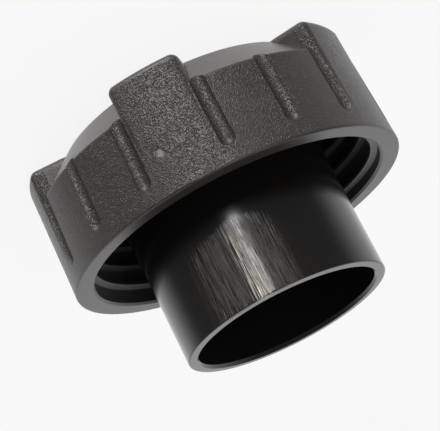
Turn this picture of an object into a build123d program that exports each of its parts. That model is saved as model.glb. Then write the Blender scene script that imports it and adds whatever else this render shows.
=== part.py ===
from build123d import *
from math import atan, degrees, sqrt
import os

# A vented screw cap for a fuel tank's filler neck, standing on its crown.
# Millimetres. +Z runs along the cap's axis, from the crown's outer face (z = 0)
# to the open mouth of the tube. The first grip lobe faces -Y.

# ---- Driving dimensions ----

# Outer shell: crown, sloping shoulder and skirt
RIM_R = 40.0              # outer radius of the skirt at its rim
RIM_Z = 28.6              # height of the rim above the crown's outer face
CROWN_R = 30.2            # radius of the crown's flat outer face
SHOULDER_Z = 8.4          # height at which the shoulder meets the skirt
SHOULDER_R = 39.3         # skirt radius there
WALL = 3.3                # thickness of the shoulder, square to its face
CROWN_THICK = 3.2
BORE_R = 35.3             # inner radius of the skirt, at the root of its thread
RIM_ROUND = 0.45          # rounding of the rim's outer edge
MOUTH_CHAMFER = 0.5       # lead-in at the rim's inner edge
CROWN_ROUND = 1.2         # rounding between the crown's face and the shoulder
SHOULDER_ROUND = 1.0      # rounding between the shoulder and the skirt

# Grip lobes and the flutes beside and between them
LOBES = 5
LOBE_AZ = -90.0           # azimuth of the first lobe's centre, in degrees
LOBE_R = 39.45            # radius of a lobe's face at its crown end
LOBE_TOP_Z = 0.55         # height of a lobe's end face at its outer edge
LOBE_TOP_R = 31.5         # radius at which that end face meets the crown's plane
LOBE_FADE_Z = 26.0        # height at which a lobe's face runs into the skirt
LOBE_HALF_OUT = 8.3       # half width of a lobe at its face
LOBE_HALF_IN = 8.3        # half width of a lobe at the edge of the crown's face
LOBE_CORNER = 1.9         # rounding of a lobe's long edges
LOBE_ROUND = 1.8          # rounding of a lobe's end edges
FLUTE_OFFSET = 14.2       # degrees from a lobe's centre to the flute beside it
FLUTE_WIDTH = 3.5
FLUTE_DEPTH = 1.2
FLUTE_END_Z = 24.8        # height of a flute's rounded end
NICK_DEPTH = 0.3          # a dent in the first lobe's face, like half a shallow dish
NICK_LENGTH = 3.2         # length of its straight, steep side
NICK_AZ = -85.5           # middle of that side
NICK_Z = 18.4
NICK_LEAN = 30.0          # degrees from upright

# Thread on the skirt's inner wall
PITCH = 5.1
CREST_R = 33.9
CREST_WIDTH = 0.7
ROOT_WIDTH = 1.9
THREAD_LOW_Z = 12.0       # crest centre at the deep end
THREAD_HIGH_Z = 26.35     # crest centre at the mouth end
THREAD_END_AZ = 215.0     # azimuth at which the thread ends near the mouth
THREAD_SINK = 0.7         # depth of its root in the wall

# Inner tube with its flange, free to turn in the shell
TUBE_R = 24.0
TUBE_BORE_R = 21.5
TUBE_END_Z = 52.65        # height of the tube's end on the axis
TUBE_END_TILT = 1.1       # degrees by which the end is out of square
TUBE_LONG_AZ = 81.0       # azimuth of its longest side
TUBE_LEAD_Z = 52.2        # height at which the bore's lead-in starts
TUBE_ROUND = 0.35
TURN_GAP = 0.05           # play between faces that slide on each other
FLANGE_THICK = 2.5
FLANGE_R = 31.2
FLANGE_GAP = 0.4          # clearance between the flange's edge and the shoulder
BEAD_R = 30.75            # inner radius of the snap bead that holds the flange in
BEAD_GAP = 0.15           # end play of the flange under the bead
BEAD_LAND = 0.8
SLIP_THICK = 0.8
SLIP_R = 27.5
SLIP_BORE_R = 11.0
SLIP_GROOVES = 4          # air passages across the slip ring's face
SLIP_GROOVE_WIDTH = 2.5
SLIP_GROOVE_DEPTH = 0.4
SEAL_R = 30.4
SEAL_BORE_R = 25.2
SEAL_THICK = 2.5

# Vent in the flange plate, and the socket that holds the valve
VENT_R = 5.0
FILTER_R = 9.0
FILTER_THICK = 1.2
SOCKET_R = 17.0
SOCKET_BORE_R = 15.0
SOCKET_HEIGHT = 6.3

# Valve body, cover and splash guard
BODY_BORE_R = 12.4
BODY_HEIGHT = 12.7
BODY_FLOOR = 1.5
BODY_PORT_R = 7.6
SEAT_R = 8.5
SEAT_WIDTH = 1.0
SEAT_HEIGHT = 0.6
O_RING_WIRE_R = 0.7
O_RING_ABOVE = 3.4        # height of the O-ring above the flange plate
COVER_THICK = 1.3
COVER_PORT_R = 4.0
COVER_VENTS = 8
COVER_VENT_R = 0.9
COVER_VENT_CIRCLE_R = 10.6
GUARD_R = 16.4
GUARD_LOW_Z = 15.0
GUARD_HIGH_Z = 24.0
GUARD_CAP = 1.3
GUARD_WINDOWS = 6
GUARD_WINDOW_WIDTH = 9.0
GUARD_WINDOW_HEIGHT = 2.0

# Pressure plate: opens towards the crown when the tank's pressure lifts it
PLATE_R = 10.4
PLATE_THICK = 1.0
PLATE_RIBS = 4
PLATE_RIB_R = 12.33
PLATE_RIB_WIDTH = 2.4
PLATE_RIB_HEIGHT = 2.6
PLATE_BOSS_R = 2.4
PLATE_BOSS_HEIGHT = 2.5
PLATE_PORTS = 6
PLATE_PORT_R = 0.8
PLATE_PORT_CIRCLE_R = 4.2
RUBBER_THICK = 0.6
PLATE_RUBBER_BORE_R = 7.2
PRESSURE_WIRE_R = 0.45
PRESSURE_COIL_R = 8.0
PRESSURE_TURNS = 4.5

# Vacuum valve: opens towards the tank when the tank's pressure falls
STEM_R = 1.5
STEM_GAP = 0.05
STEM_NECK_R = 1.0
STEM_END = 6.1            # length of the stem beyond the plate, crown side
HEAD_R = 5.6
HEAD_THICK = 1.0
CLIP_R = 3.5
CLIP_THICK = 0.6
VACUUM_WIRE_R = 0.2
VACUUM_COIL_R = 2.85
VACUUM_TURNS = 5.5


# ---- Heights that follow, from the crown towards the mouth ----

roof_z = CROWN_THICK
slip_top_z = roof_z + SLIP_THICK
flange_z = slip_top_z + TURN_GAP
plate_top_z = flange_z + FLANGE_THICK
bead_z = plate_top_z + BEAD_GAP
seal_top_z = plate_top_z + SEAL_THICK
cover_top_z = plate_top_z + COVER_THICK
body_top_z = plate_top_z + BODY_HEIGHT
seat_z = body_top_z - BODY_FLOOR - SEAT_HEIGHT
plate_face_z = seat_z - RUBBER_THICK
plate_back_z = plate_face_z - PLATE_THICK
clip_z = plate_face_z - STEM_END
clip_top_z = clip_z + CLIP_THICK

shoulder_slope = (SHOULDER_R - CROWN_R) / SHOULDER_Z
wall_offset = WALL * sqrt(1 + shoulder_slope ** 2)


# ---- Shapes used by several pieces ----

def ring(outer_r, inner_r, low_z, high_z):
    """A flat ring, or a disc where inner_r is 0."""
    plan = Circle(outer_r)
    if inner_r > 0:
        plan = plan - Circle(inner_r)
    return Pos(0, 0, low_z) * extrude(plan, high_z - low_z)


def turned(points):
    """A solid of revolution about Z, from (radius, z) points."""
    outline = Polyline(*[(r, 0, z) for r, z in points], close=True)
    return revolve(make_face(outline), Axis.Z)


def turn(shape, azimuth):
    return Rot(0, 0, azimuth) * shape


def around(shape, count, start=0.0):
    """Copies of a shape, evenly spaced around Z."""
    return [turn(shape, start + k * 360 / count) for k in range(count)]


def circle_edges(shape, radius, z):
    """The round edges of a shape about Z, at one radius and height."""
    def matches(edge):
        box = edge.bounding_box()
        flat = box.max.Z - box.min.Z < 0.01
        return flat and abs(box.max.Z - z) < 0.01 and abs(edge.radius - radius) < 0.01
    return shape.edges().filter_by(GeomType.CIRCLE).filter_by(matches)


def coil(wire_r, coil_r, turns, low_z, high_z):
    """A round-wire helix that fills the height between two faces."""
    rise = high_z - low_z - 2 * wire_r
    path = Pos(0, 0, low_z + wire_r) * Helix(rise / turns, rise, coil_r)
    section = Plane(origin=path @ 0, z_dir=path % 0) * Circle(wire_r)
    return sweep(section, path, is_frenet=True)


# ---- Outer shell ----

def skirt_r(z):
    """Outer radius of the skirt between the lobes."""
    return RIM_R + (SHOULDER_R - RIM_R) * (RIM_Z - z) / (RIM_Z - SHOULDER_Z)


def inner_slope_r(z):
    """Inner radius of the sloping shoulder."""
    return CROWN_R + shoulder_slope * z - wall_offset


def shell_blank():
    blank = turned([(0, 0), (CROWN_R, 0), (SHOULDER_R, SHOULDER_Z), (RIM_R, RIM_Z), (0, RIM_Z)])
    blank = fillet(circle_edges(blank, CROWN_R, 0), CROWN_ROUND)
    blank = fillet(circle_edges(blank, SHOULDER_R, SHOULDER_Z), SHOULDER_ROUND)
    return fillet(circle_edges(blank, RIM_R, RIM_Z), RIM_ROUND)


def lobe():
    """One grip lobe, facing +X: the drum of the skirt carried up past the shoulder."""
    fade_r = skirt_r(LOBE_FADE_Z)
    draft = (fade_r - LOBE_R) / (LOBE_FADE_Z - LOBE_TOP_Z)
    end_z = RIM_Z - 2 * RIM_ROUND
    end_r = LOBE_R + draft * (end_z - LOBE_TOP_Z)
    drum = turned([(0, 0), (LOBE_TOP_R, 0), (LOBE_R, LOBE_TOP_Z), (end_r, end_z), (0, end_z)])

    inner, outer = 0.6 * RIM_R, 1.05 * RIM_R
    side = (LOBE_HALF_IN - LOBE_HALF_OUT) / (LOBE_R - CROWN_R)
    half_in = LOBE_HALF_OUT + side * (LOBE_R - inner)
    half_out = LOBE_HALF_OUT - side * (outer - LOBE_R)
    plan = Polygon((inner, -half_in), (outer, -half_out), (outer, half_out), (inner, half_in), align=None)
    body = drum & extrude(plan, RIM_Z)

    long_edges = body.edges().filter_by(lambda e: e.length > 0.8 * end_z and e.center().X > CROWN_R + 2)
    body = fillet(long_edges, LOBE_CORNER)
    end_edges = body.edges().filter_by(lambda e: e.bounding_box().max.Z < LOBE_TOP_Z + 0.5)
    end_edges = end_edges.filter_by(lambda e: e.center().X > LOBE_TOP_R + 1)
    return fillet(end_edges, LOBE_ROUND)


def flute_cutter():
    """A round-ended cutter that leaves one flute, facing +X."""
    cutter_r = (FLUTE_WIDTH ** 2 / 4 + FLUTE_DEPTH ** 2) / (2 * FLUTE_DEPTH)
    top_z = FLUTE_END_Z - FLUTE_WIDTH / 2
    draft = (RIM_R - SHOULDER_R) / (RIM_Z - SHOULDER_Z)
    rod = extrude(Circle(cutter_r), -top_z) + Sphere(cutter_r)
    lean = Rot(0, degrees(atan(draft)), 0)
    return Pos(skirt_r(top_z) - FLUTE_DEPTH + cutter_r, 0, top_z) * lean * rod


def nick_cutter():
    """Half a ball, sunk a little into a face at +X."""
    ball_r = (NICK_LENGTH ** 2 / 4 + NICK_DEPTH ** 2) / (2 * NICK_DEPTH)
    half = Sphere(ball_r) & Pos(0, ball_r, 0) * Box(2 * ball_r, 2 * ball_r, 2 * ball_r)
    return Pos(skirt_r(NICK_Z) + ball_r - NICK_DEPTH, 0, NICK_Z) * Rot(NICK_LEAN, 0, 0) * half


def thread_ridge():
    """A right-hand ridge on the inner wall, ending near the mouth."""
    rise = THREAD_HIGH_Z - THREAD_LOW_Z
    path = Helix(PITCH, rise, BORE_R)
    depth = BORE_R - CREST_R
    crest = CREST_WIDTH / 2
    root = crest + (ROOT_WIDTH - CREST_WIDTH) / 2 * (1 + THREAD_SINK / depth)
    start = Plane(origin=path @ 0, x_dir=(1, 0, 0), z_dir=path % 0)
    corners = [(THREAD_SINK, -root), (THREAD_SINK, root), (-depth, crest), (-depth, -crest)]
    ridge = sweep(start * Polygon(*corners, align=None), path, is_frenet=True)
    start_az = THREAD_END_AZ - rise / PITCH * 360
    return Pos(0, 0, THREAD_LOW_Z) * turn(ridge, start_az)


def outer_shell():
    shell = shell_blank()
    for body in around(lobe(), LOBES, LOBE_AZ):
        shell += body
    gap = 360 / LOBES
    for offset in (-FLUTE_OFFSET, FLUTE_OFFSET, gap / 2):
        for cutter in around(flute_cutter(), LOBES, LOBE_AZ + offset):
            shell -= cutter

    deep_z = (BORE_R - CROWN_R + wall_offset) / shoulder_slope
    cavity = [(0, roof_z), (inner_slope_r(roof_z), roof_z), (inner_slope_r(bead_z), bead_z),
              (BEAD_R, bead_z), (BEAD_R, bead_z + BEAD_LAND), (BORE_R, deep_z + BEAD_LAND),
              (BORE_R, RIM_Z - MOUTH_CHAMFER), (BORE_R + MOUTH_CHAMFER, RIM_Z),
              (BORE_R + MOUTH_CHAMFER, RIM_Z + 1), (0, RIM_Z + 1)]
    shell -= turned(cavity)
    shell += thread_ridge()
    return shell - turn(nick_cutter(), NICK_AZ)


# ---- Pieces between the shell and the neck ----

def slip_ring():
    washer = ring(SLIP_R, SLIP_BORE_R, roof_z, slip_top_z)
    groove = Pos(SLIP_R, 0, slip_top_z) * Box(2 * SLIP_R, SLIP_GROOVE_WIDTH, 2 * SLIP_GROOVE_DEPTH)
    for cutter in around(groove, SLIP_GROOVES):
        washer -= cutter
    return washer


def flange_edge_r(z):
    return inner_slope_r(z) - FLANGE_GAP * wall_offset / WALL


def inner_tube():
    edge_z = (FLANGE_R - flange_edge_r(0)) / shoulder_slope
    blank_z = TUBE_LEAD_Z + TUBE_R - TUBE_BORE_R
    body = turned([(0, flange_z), (flange_edge_r(flange_z), flange_z), (FLANGE_R, edge_z),
                   (FLANGE_R, plate_top_z), (TUBE_R, plate_top_z), (TUBE_R, blank_z),
                   (TUBE_BORE_R, TUBE_LEAD_Z), (TUBE_BORE_R, plate_top_z), (0, plate_top_z)])
    end = turn(Pos(0, 0, TUBE_END_Z) * Rot(0, -TUBE_END_TILT, 0), TUBE_LONG_AZ)
    body -= end * extrude(Circle(2 * TUBE_R), TUBE_R)
    outer_edge = body.edges().filter_by(lambda e: e.center().Z > TUBE_LEAD_Z).sort_by(Edge.length)[-1]
    body = fillet(outer_edge, TUBE_ROUND)
    body += ring(SOCKET_R, SOCKET_BORE_R, plate_top_z, plate_top_z + SOCKET_HEIGHT)
    body -= ring(FILTER_R, 0, flange_z, flange_z + FILTER_THICK)
    return body - ring(VENT_R, 0, flange_z, plate_top_z)


def neck_seal():
    seal = ring(SEAL_R, SEAL_BORE_R, plate_top_z, seal_top_z)
    return chamfer(circle_edges(seal, SEAL_R, seal_top_z), 0.3)


def breather_filter():
    return ring(FILTER_R, 0, flange_z, flange_z + FILTER_THICK)


# ---- Two-way vent valve ----

def valve_body():
    body = ring(SOCKET_BORE_R, BODY_BORE_R, plate_top_z, body_top_z)
    body += ring(BODY_BORE_R, BODY_PORT_R, body_top_z - BODY_FLOOR, body_top_z)
    body += ring(SEAT_R + SEAT_WIDTH / 2, SEAT_R - SEAT_WIDTH / 2, seat_z, body_top_z - BODY_FLOOR)
    groove_z = plate_top_z + O_RING_ABOVE
    groove = ring(SOCKET_BORE_R + 1, SOCKET_BORE_R - 2 * O_RING_WIRE_R,
                  groove_z - O_RING_WIRE_R, groove_z + O_RING_WIRE_R)
    return body - groove


def valve_o_ring():
    z = plate_top_z + O_RING_ABOVE
    return Pos(0, 0, z) * Torus(SOCKET_BORE_R - O_RING_WIRE_R, O_RING_WIRE_R)


def valve_cover():
    cover = ring(BODY_BORE_R, COVER_PORT_R, plate_top_z, cover_top_z)
    hole = Pos(COVER_VENT_CIRCLE_R, 0, plate_top_z) * extrude(Circle(COVER_VENT_R), COVER_THICK)
    for cutter in around(hole, COVER_VENTS):
        cover -= cutter
    return cover


def splash_guard():
    guard = ring(GUARD_R, SOCKET_BORE_R, GUARD_LOW_Z, GUARD_HIGH_Z)
    guard += ring(SOCKET_BORE_R, 0, GUARD_HIGH_Z - GUARD_CAP, GUARD_HIGH_Z)
    guard = fillet(circle_edges(guard, GUARD_R, GUARD_HIGH_Z), 0.6)
    window_z = GUARD_HIGH_Z - GUARD_CAP - GUARD_WINDOW_HEIGHT / 2 - 0.2
    window = Pos(GUARD_R, 0, window_z) * Box(4, GUARD_WINDOW_WIDTH, GUARD_WINDOW_HEIGHT)
    for cutter in around(window, GUARD_WINDOWS):
        guard -= cutter
    return guard


def pressure_plate():
    plate = ring(PLATE_R, 0, plate_back_z, plate_face_z)
    rib = Pos(0, 0, plate_face_z - PLATE_RIB_HEIGHT) * extrude(
        Circle(PLATE_RIB_R) - Circle(PLATE_R - 0.8), PLATE_RIB_HEIGHT)
    for slab in around(Pos(PLATE_R, 0, plate_back_z) * Box(8, PLATE_RIB_WIDTH, 20), PLATE_RIBS):
        plate += rib & slab
    plate += ring(PLATE_BOSS_R, 0, plate_back_z - PLATE_BOSS_HEIGHT, plate_back_z)
    plate -= ring(STEM_R + STEM_GAP, 0, plate_back_z - PLATE_BOSS_HEIGHT, plate_face_z)
    port = Pos(PLATE_PORT_CIRCLE_R, 0, plate_back_z) * extrude(Circle(PLATE_PORT_R), PLATE_THICK)
    for cutter in around(port, PLATE_PORTS):
        plate -= cutter
    return plate


def pressure_seal():
    return ring(PLATE_R, PLATE_RUBBER_BORE_R, plate_face_z, seat_z)


def pressure_spring():
    return coil(PRESSURE_WIRE_R, PRESSURE_COIL_R, PRESSURE_TURNS, cover_top_z, plate_back_z)


def vacuum_valve():
    head_z = plate_face_z + RUBBER_THICK
    valve = ring(HEAD_R, 0, head_z, head_z + HEAD_THICK)
    valve += ring(STEM_R, 0, clip_top_z, head_z)
    valve += ring(STEM_NECK_R, 0, clip_z, clip_top_z)
    return valve + ring(STEM_R - 0.1, 0, clip_z - CLIP_THICK, clip_z)


def vacuum_seal():
    return ring(HEAD_R, STEM_R, plate_face_z, plate_face_z + RUBBER_THICK)


def vacuum_clip():
    return ring(CLIP_R, STEM_NECK_R, clip_z, clip_top_z)


def vacuum_spring():
    return coil(VACUUM_WIRE_R, VACUUM_COIL_R, VACUUM_TURNS, clip_top_z, plate_back_z)


# ---- Export ----

PIECES = {
    "outer_shell": outer_shell,
    "slip_ring": slip_ring,
    "inner_tube": inner_tube,
    "neck_seal": neck_seal,
    "breather_filter": breather_filter,
    "valve_body": valve_body,
    "valve_o_ring": valve_o_ring,
    "valve_cover": valve_cover,
    "splash_guard": splash_guard,
    "pressure_plate": pressure_plate,
    "pressure_seal": pressure_seal,
    "pressure_spring": pressure_spring,
    "vacuum_valve": vacuum_valve,
    "vacuum_seal": vacuum_seal,
    "vacuum_clip": vacuum_clip,
    "vacuum_spring": vacuum_spring,
}

os.makedirs("parts", exist_ok=True)
for name, make in PIECES.items():
    export_step(make(), f"parts/{name}.step")
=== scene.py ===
from math import cos, pi, radians, sin

import bmesh
import bpy
from mathutils import Matrix, Vector


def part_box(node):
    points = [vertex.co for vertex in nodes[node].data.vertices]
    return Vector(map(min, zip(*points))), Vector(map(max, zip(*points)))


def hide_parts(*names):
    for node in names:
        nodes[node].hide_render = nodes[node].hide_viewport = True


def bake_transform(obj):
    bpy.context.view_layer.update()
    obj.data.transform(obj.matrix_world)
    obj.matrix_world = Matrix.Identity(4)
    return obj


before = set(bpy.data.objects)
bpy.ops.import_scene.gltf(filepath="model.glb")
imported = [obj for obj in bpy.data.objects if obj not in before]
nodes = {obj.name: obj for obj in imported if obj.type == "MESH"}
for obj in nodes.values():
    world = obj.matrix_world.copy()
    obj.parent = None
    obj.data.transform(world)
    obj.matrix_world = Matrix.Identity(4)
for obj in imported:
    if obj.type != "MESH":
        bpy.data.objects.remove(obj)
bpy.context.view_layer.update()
MM = 0.001

# ---- Camera ----
# A long lens looks slightly down on the cap, which stands on its crown. The camera itself is held
# nearly upside down, so the tube points to its lower right.

CAMERA_AZIMUTH = radians(-96.47)
CAMERA_ELEVATION = radians(17.93)
CAMERA_ROLL = radians(153.04)
CAMERA_DISTANCE = 374.0 * MM
CAMERA_AIM = Vector((3.05, -0.34, 24.41)) * MM
CAMERA_LENS = 136.39


def direction(azimuth, elevation):
    """A unit vector from two angles."""
    return Vector((cos(elevation) * cos(azimuth), cos(elevation) * sin(azimuth), sin(elevation)))


camera_data = bpy.data.cameras.new("camera")
camera_data.lens = CAMERA_LENS
camera_data.sensor_width = 36.0
camera = bpy.data.objects.new("camera", camera_data)
bpy.context.scene.collection.objects.link(camera)
level = Matrix.Rotation(CAMERA_AZIMUTH + pi / 2, 4, "Z") @ Matrix.Rotation(pi / 2 - CAMERA_ELEVATION, 4, "X")
stand = CAMERA_AIM + direction(CAMERA_AZIMUTH, CAMERA_ELEVATION) * CAMERA_DISTANCE
camera.matrix_world = Matrix.Translation(stand) @ level @ Matrix.Rotation(CAMERA_ROLL, 4, "Z")
bpy.context.scene.camera = camera

# ---- Outer shell ----
# Crown, shoulder, skirt, lobes and thread, moulded in one piece from black glass-filled nylon.
# The mould was spark-eroded on the skirt and lobes, which leaves a coarse, sparkling grain there.
# The shoulder, the rounded edges, the rim and the inside came from smoother steel.


def linear(hex_colour):
    """An sRGB hex colour as Blender's linear RGBA."""
    values = [int(hex_colour[i:i + 2], 16) / 255 for i in (1, 3, 5)]
    return [v / 12.92 if v <= 0.04045 else ((v + 0.055) / 1.055) ** 2.4 for v in values] + [1.0]


def add(tree, kind, settings=None, inputs=None, links=None):
    """Adds a node with its properties, its input values and its links, by socket name or number."""
    made = tree.nodes.new(kind)
    for key, value in (settings or {}).items():
        setattr(made, key, value)
    for key, value in (inputs or {}).items():
        made.inputs[key].default_value = value
    for key, source in (links or {}).items():
        tree.links.new(source, made.inputs[key])
    return made


def new_material(name, colour, roughness, ior=1.5):
    """A material with its Principled shader set to plain values."""
    made = bpy.data.materials.new(name)
    made.use_nodes = True
    shader = made.node_tree.nodes["Principled BSDF"]
    shader.inputs["Base Color"].default_value = linear(colour)
    shader.inputs["Roughness"].default_value = roughness
    shader.inputs["IOR"].default_value = ior
    return made, made.node_tree, shader


def dress(name, made):
    nodes[name].data.materials.clear()
    nodes[name].data.materials.append(made)


WALL_TILT = 0.08               # upright part of the normal at which the grain starts to fade
EDGE_TILT = 0.2                # and at which it is gone
GRAIN_INNER_R = 36.6 * MM      # the grain stops between the flute floors and the bore
GRAIN_FADE = 0.4 * MM
CRATER = 0.3 * MM
CRATER_DEPTH = 0.24 * MM
FINE_GRAIN = 0.28 * MM
FINE_DEPTH = 0.34              # as a part of the craters' depth
NICK_R = 0.8 * MM              # a small smooth spot in the first lobe's nick
NICK_FADE = 1.3                # radius at which the grain is whole again, in nick radii
NICK_SHELL_R = 39.4 * MM
NICK_AZIMUTH = radians(-84.6)
NICK_Z = 19.1 * MM
NICK_PLACE = (NICK_SHELL_R * cos(NICK_AZIMUTH), NICK_SHELL_R * sin(NICK_AZIMUTH), NICK_Z)

grained_nylon, tree, shader = new_material("spark_eroded_black_nylon", "#312d2b", 0.36, 1.54)
where = add(tree, "ShaderNodeTexCoord").outputs["Object"]
axes = add(tree, "ShaderNodeSeparateXYZ", links={0: where})
flat = add(tree, "ShaderNodeCombineXYZ", links={0: axes.outputs["X"], 1: axes.outputs["Y"]})
radius = add(tree, "ShaderNodeVectorMath", {"operation": "LENGTH"}, links={0: flat.outputs[0]})
normal = add(tree, "ShaderNodeNewGeometry").outputs["True Normal"]
upright = add(tree, "ShaderNodeSeparateXYZ", links={0: normal}).outputs["Z"]
steep = add(tree, "ShaderNodeMath", {"operation": "ABSOLUTE"}, links={0: upright})
on_wall = add(tree, "ShaderNodeMapRange", inputs={1: WALL_TILT, 2: EDGE_TILT, 3: 1.0, 4: 0.0},
              links={0: steep.outputs[0]})
outside = add(tree, "ShaderNodeMapRange", inputs={1: GRAIN_INNER_R, 2: GRAIN_INNER_R + GRAIN_FADE},
              links={0: radius.outputs["Value"]})
on_skirt = add(tree, "ShaderNodeMath", {"operation": "MULTIPLY"},
               links={0: on_wall.outputs[0], 1: outside.outputs[0]})
apart = add(tree, "ShaderNodeVectorMath", {"operation": "DISTANCE"}, inputs={1: NICK_PLACE}, links={0: where})
unhurt = add(tree, "ShaderNodeMapRange", inputs={1: NICK_R, 2: NICK_FADE * NICK_R},
             links={0: apart.outputs["Value"]})
grained = add(tree, "ShaderNodeMath", {"operation": "MULTIPLY"},
              links={0: on_skirt.outputs[0], 1: unhurt.outputs[0]})
craters = add(tree, "ShaderNodeTexVoronoi", inputs={"Scale": 1 / CRATER}, links={"Vector": where})
deep = add(tree, "ShaderNodeSeparateXYZ", links={0: craters.outputs["Color"]})
pit = add(tree, "ShaderNodeMath", {"operation": "MULTIPLY"},
          links={0: craters.outputs["Distance"], 1: deep.outputs["X"]})
height = add(tree, "ShaderNodeMath", {"operation": "MULTIPLY"},
             links={0: pit.outputs[0], 1: grained.outputs[0]})
fine = add(tree, "ShaderNodeTexNoise", inputs={"Scale": 1 / FINE_GRAIN, "Detail": 2.0},
           links={"Vector": where})
relief = add(tree, "ShaderNodeMath", {"operation": "MULTIPLY_ADD"}, inputs={1: FINE_DEPTH},
             links={0: fine.outputs[0], 2: height.outputs[0]})
bump = add(tree, "ShaderNodeBump", inputs={"Strength": 1.0, "Distance": CRATER_DEPTH},
           links={"Height": relief.outputs[0]})
tree.links.new(bump.outputs[0], shader.inputs["Normal"])
dress("outer_shell", grained_nylon)

# ---- Inner tube and splash guard ----
# Smooth black acetal, glossy where it has not been rubbed. The neck has scuffed one side of the
# tube's outer wall along its axis, from the open end to about half its height. In a narrow band
# where the tall lamp reflects, those scratches are painted near white: a painted highlight on real scratches.

SCUFF_AZIMUTH = radians(-86)
SCUFF_HALF_WIDTH = radians(32)
SCUFF_CORE = 0.4               # part of that half width in which it is at full strength
SCUFF_START_Z = 33.0 * MM
SCUFF_FADE = 6.0 * MM
SCUFF_INNER_R = 22.6 * MM      # inside the wall, so that the bore stays clean
SCUFF_RELIEF = 0.03 * MM
# The narrow band in which the scratches are painted near white, as a painted highlight of the tall lamp.
PAINTED_HIGHLIGHT_AZIMUTH = radians(-91)
PAINTED_HIGHLIGHT_HALF_WIDTH = radians(7)
PAINTED_HIGHLIGHT_CORE = 0.3
SCRATCH_WIDTH = 0.2 * MM
SCRATCH_LENGTH = 11.0 * MM
SCRATCH_START = 0.48           # noise value at which a scratch starts
SCRATCH_FULL = 0.6
BARE_ROUGHNESS = 0.2
SCUFF_ROUGHNESS = 0.13         # added where it is scuffed
BARE_BLACK = "#181615"
SCUFFED_BROWN = "#4a443d"
# Near white painted on the scratches in that narrow band: a painted highlight, not the scratches' own colour.
SCUFF_PAINTED_HIGHLIGHT = "#f2ece0"

acetal, tree, shader = new_material("smooth_black_acetal", BARE_BLACK, BARE_ROUGHNESS, 1.48)
for name in ("inner_tube", "splash_guard"):
    dress(name, acetal)
where = add(tree, "ShaderNodeTexCoord").outputs["Object"]
axes = add(tree, "ShaderNodeSeparateXYZ", links={0: where})
turn = add(tree, "ShaderNodeMath", {"operation": "ARCTAN2"},
           links={0: axes.outputs["Y"], 1: axes.outputs["X"]})
bands = []
for azimuth, half_width, core in ((SCUFF_AZIMUTH, SCUFF_HALF_WIDTH, SCUFF_CORE),
                                  (PAINTED_HIGHLIGHT_AZIMUTH, PAINTED_HIGHLIGHT_HALF_WIDTH, PAINTED_HIGHLIGHT_CORE)):
    off = add(tree, "ShaderNodeMath", {"operation": "SUBTRACT"}, inputs={1: azimuth},
              links={0: turn.outputs[0]})
    apart = add(tree, "ShaderNodeMath", {"operation": "ABSOLUTE"}, links={0: off.outputs[0]})
    bands.append(add(tree, "ShaderNodeMapRange", {"interpolation_type": "SMOOTHSTEP"},
                     inputs={1: core * half_width, 2: half_width, 3: 1.0, 4: 0.0},
                     links={0: apart.outputs[0]}))
beside, painted_highlight_band = bands
above = add(tree, "ShaderNodeMapRange", {"interpolation_type": "SMOOTHSTEP"},
            inputs={1: SCUFF_START_Z, 2: SCUFF_START_Z + SCUFF_FADE}, links={0: axes.outputs["Z"]})
flat = add(tree, "ShaderNodeCombineXYZ", links={0: axes.outputs["X"], 1: axes.outputs["Y"]})
radius = add(tree, "ShaderNodeVectorMath", {"operation": "LENGTH"}, links={0: flat.outputs[0]})
outside = add(tree, "ShaderNodeMath", {"operation": "GREATER_THAN"}, inputs={1: SCUFF_INNER_R},
              links={0: radius.outputs["Value"]})
reached = add(tree, "ShaderNodeMath", {"operation": "MULTIPLY"},
              links={0: beside.outputs[0], 1: above.outputs[0]})
rubbed = add(tree, "ShaderNodeMath", {"operation": "MULTIPLY"},
             links={0: reached.outputs[0], 1: outside.outputs[0]})
along = add(tree, "ShaderNodeVectorMath", {"operation": "MULTIPLY"},
            inputs={1: (1 / SCRATCH_WIDTH, 1 / SCRATCH_WIDTH, 1 / SCRATCH_LENGTH)}, links={0: where})
lines = add(tree, "ShaderNodeTexNoise", inputs={"Scale": 1.0, "Detail": 4.0, "Roughness": 0.75},
            links={"Vector": along.outputs[0]})
sharp = add(tree, "ShaderNodeMapRange", inputs={1: SCRATCH_START, 2: SCRATCH_FULL},
            links={0: lines.outputs[0]})
scuff = add(tree, "ShaderNodeMath", {"operation": "MULTIPLY"},
            links={0: sharp.outputs[0], 1: rubbed.outputs[0]})
rough = add(tree, "ShaderNodeMapRange", inputs={3: BARE_ROUGHNESS, 4: BARE_ROUGHNESS + SCUFF_ROUGHNESS},
            links={0: scuff.outputs[0]})
tree.links.new(rough.outputs[0], shader.inputs["Roughness"])
# The scratches are brown wear, and near white in the narrow band as a painted highlight.
scuff_wear_and_painted_highlight = add(tree, "ShaderNodeMix", {"data_type": "RGBA"},
           inputs={6: linear(SCUFFED_BROWN), 7: linear(SCUFF_PAINTED_HIGHLIGHT)}, links={0: painted_highlight_band.outputs[0]})
shade = add(tree, "ShaderNodeMix", {"data_type": "RGBA"}, inputs={6: linear(BARE_BLACK)},
            links={0: scuff.outputs[0], 7: scuff_wear_and_painted_highlight.outputs[2]})
tree.links.new(shade.outputs[2], shader.inputs["Base Color"])
bump = add(tree, "ShaderNodeBump", inputs={"Strength": 1.0, "Distance": SCUFF_RELIEF},
           links={"Height": scuff.outputs[0]})
tree.links.new(bump.outputs[0], shader.inputs["Normal"])

# ---- Rubber ----
# Four moulded nitrile rings: the flat seal on the neck's rim, the O-ring round the valve's body,
# and the two valves' own flat seals.

rubber, tree, shader = new_material("nitrile_rubber", "#1a1a1a", 0.7)
for name in ("neck_seal", "valve_o_ring", "pressure_seal", "vacuum_seal"):
    dress(name, rubber)

# ---- Natural acetal ----
# Undyed acetal for the small inner mouldings that slide or turn: the slip ring, the valve's body
# and cover, and both valves' plates.

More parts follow.
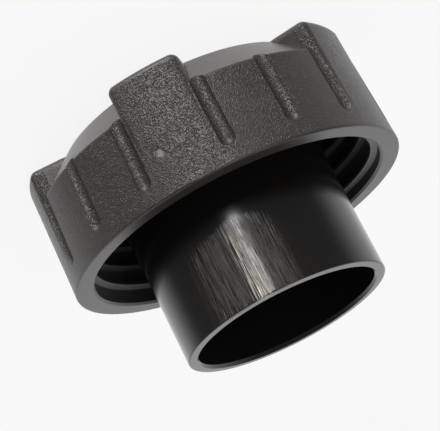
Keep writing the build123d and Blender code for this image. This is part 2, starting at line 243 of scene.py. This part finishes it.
natural, tree, shader = new_material("natural_acetal", "#dcd8cc", 0.4, 1.48)
for name in ("slip_ring", "valve_body", "valve_cover", "pressure_plate", "vacuum_valve"):
    dress(name, natural)

# ---- Steel ----
# Bright spring steel, stamped into the clip that holds the vacuum spring on its stem. The two
# springs have the same steel.

steel, tree, shader = new_material("drawn_spring_steel", "#b0aeaa", 0.3)
shader.inputs["Metallic"].default_value = 1.0
dress("vacuum_clip", steel)

# ---- Springs ----
# Two round-wire compression springs, wound cold. Each is drawn as a fixed helix that fills its
# node's height, in place of the node itself.

WIRE_SIDES = 16
STEPS_PER_TURN = 32


def spring(node, wire_r, turns):
    """A helix that fills the node's height and takes the place of the node, which is hidden."""
    low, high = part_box(node)
    coil_r = high.x - wire_r
    steps = round(turns * STEPS_PER_TURN)
    start = Matrix.Translation((coil_r, 0, low.z + wire_r)) @ Matrix.Rotation(pi / 2, 4, "X")
    bm = bmesh.new()
    bmesh.ops.create_circle(bm, segments=WIRE_SIDES, radius=wire_r, matrix=start)
    rise = (high.z - low.z - 2 * wire_r) / steps
    bmesh.ops.spin(bm, geom=list(bm.verts) + list(bm.edges), axis=(0, 0, 1), dvec=(0, 0, rise),
                   angle=2 * pi * turns, steps=steps)
    bmesh.ops.holes_fill(bm, edges=bm.edges, sides=WIRE_SIDES)
    bmesh.ops.recalc_face_normals(bm, faces=bm.faces)
    for face in bm.faces:
        face.smooth = len(face.verts) == 4
    mesh = bpy.data.meshes.new(node + "_wire")
    bm.to_mesh(mesh)
    bm.free()
    mesh.materials.append(steel)
    piece = bpy.data.objects.new(node + "_wire", mesh)
    bpy.context.scene.collection.objects.link(piece)
    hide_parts(node)
    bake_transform(piece)


PRESSURE_WIRE_R = 0.45 * MM
PRESSURE_TURNS = 4.5
VACUUM_WIRE_R = 0.2 * MM
VACUUM_TURNS = 5.5

spring("pressure_spring", PRESSURE_WIRE_R, PRESSURE_TURNS)
spring("vacuum_spring", VACUUM_WIRE_R, VACUUM_TURNS)

# ---- Felt ----
# A punched disc of needled felt, which keeps dust out of the vent.

felt, tree, shader = new_material("needled_felt", "#c8c0ae", 0.95)
dress("breather_filter", felt)

# ---- Floor ----
# A white table. One lamp stands under it, so it casts no shadow and hides nothing from reflections.
# Most of its white is its own glow, so the cap's shadow on it is kept but faint.

FLOOR_SIZE = 4.0
FLOOR_GLOW = 0.88
FLOOR_DROP = 0.2 * MM

floor_mesh = bpy.data.meshes.new("floor")
bm = bmesh.new()
bmesh.ops.create_grid(bm, x_segments=1, y_segments=1, size=FLOOR_SIZE / 2)
bm.to_mesh(floor_mesh)
bm.free()
floor = bpy.data.objects.new("floor", floor_mesh)
bpy.context.scene.collection.objects.link(floor)
floor.location.z = -FLOOR_DROP
floor.visible_shadow = False
floor.visible_glossy = False
floor.visible_diffuse = False

table = bpy.data.materials.new("white_table")
table.use_nodes = True
tree = table.node_tree
tree.nodes.remove(tree.nodes["Principled BSDF"])
glow = add(tree, "ShaderNodeEmission", inputs={"Color": linear("#ffffff"), "Strength": 1.0})
matt = add(tree, "ShaderNodeBsdfDiffuse", inputs={"Color": linear("#f4f5f3")})
mix = add(tree, "ShaderNodeMixShader", inputs={0: FLOOR_GLOW}, links={1: matt.outputs[0], 2: glow.outputs[0]})
tree.links.new(mix.outputs[0], tree.nodes["Material Output"].inputs["Surface"])
floor_mesh.materials.append(table)

# ---- Light ----
# A white sweep behind the cap and under it, a dim room in front, one tall narrow lamp in front and
# below, and one small lamp in front and above.

RIM_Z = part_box("outer_shell")[1].z
ROOM = 0.2
SWEEP = 1.14
SWEEP_START = 0.0              # part of a direction that points backwards
SWEEP_FULL = 0.6
BELOW = 0.85
BELOW_START = -0.55            # part of a direction that points upwards
BELOW_FULL = -0.85

world = bpy.data.worlds.new("studio")
bpy.context.scene.world = world
world.use_nodes = True
tree = world.node_tree
way = add(tree, "ShaderNodeTexCoord").outputs["Generated"]
part = add(tree, "ShaderNodeSeparateXYZ", links={0: way})
behind = add(tree, "ShaderNodeMapRange", {"interpolation_type": "SMOOTHSTEP"},
             inputs={1: SWEEP_START, 2: SWEEP_FULL, 3: ROOM, 4: SWEEP}, links={0: part.outputs["Y"]})
under = add(tree, "ShaderNodeMapRange", {"interpolation_type": "SMOOTHSTEP"},
            inputs={1: BELOW_START, 2: BELOW_FULL, 3: 0.0, 4: BELOW}, links={0: part.outputs["Z"]})
brighter = add(tree, "ShaderNodeMath", {"operation": "MAXIMUM"},
               links={0: behind.outputs[0], 1: under.outputs[0]})
tree.links.new(brighter.outputs[0], tree.nodes["Background"].inputs["Color"])


def lamp(name, azimuth, elevation, distance, width, height, radiance):
    """A soft box of the given radiance that faces the cap."""
    data = bpy.data.lights.new(name, "AREA")
    data.shape = "RECTANGLE"
    data.size = width
    data.size_y = height
    data.energy = radiance * pi * width * height
    made = bpy.data.objects.new(name, data)
    bpy.context.scene.collection.objects.link(made)
    aim = Vector((0, 0, RIM_Z))
    towards = direction(radians(azimuth), radians(elevation))
    made.location = aim + towards * distance
    made.rotation_euler = towards.to_track_quat("Z", "Y").to_euler()


lamp("window", azimuth=-93, elevation=-36, distance=0.7, width=0.11, height=0.76, radiance=20.0)
lamp("front", azimuth=-115, elevation=38, distance=0.8, width=0.22, height=0.22, radiance=7.5)

bpy.context.scene.view_settings.view_transform = "Standard"
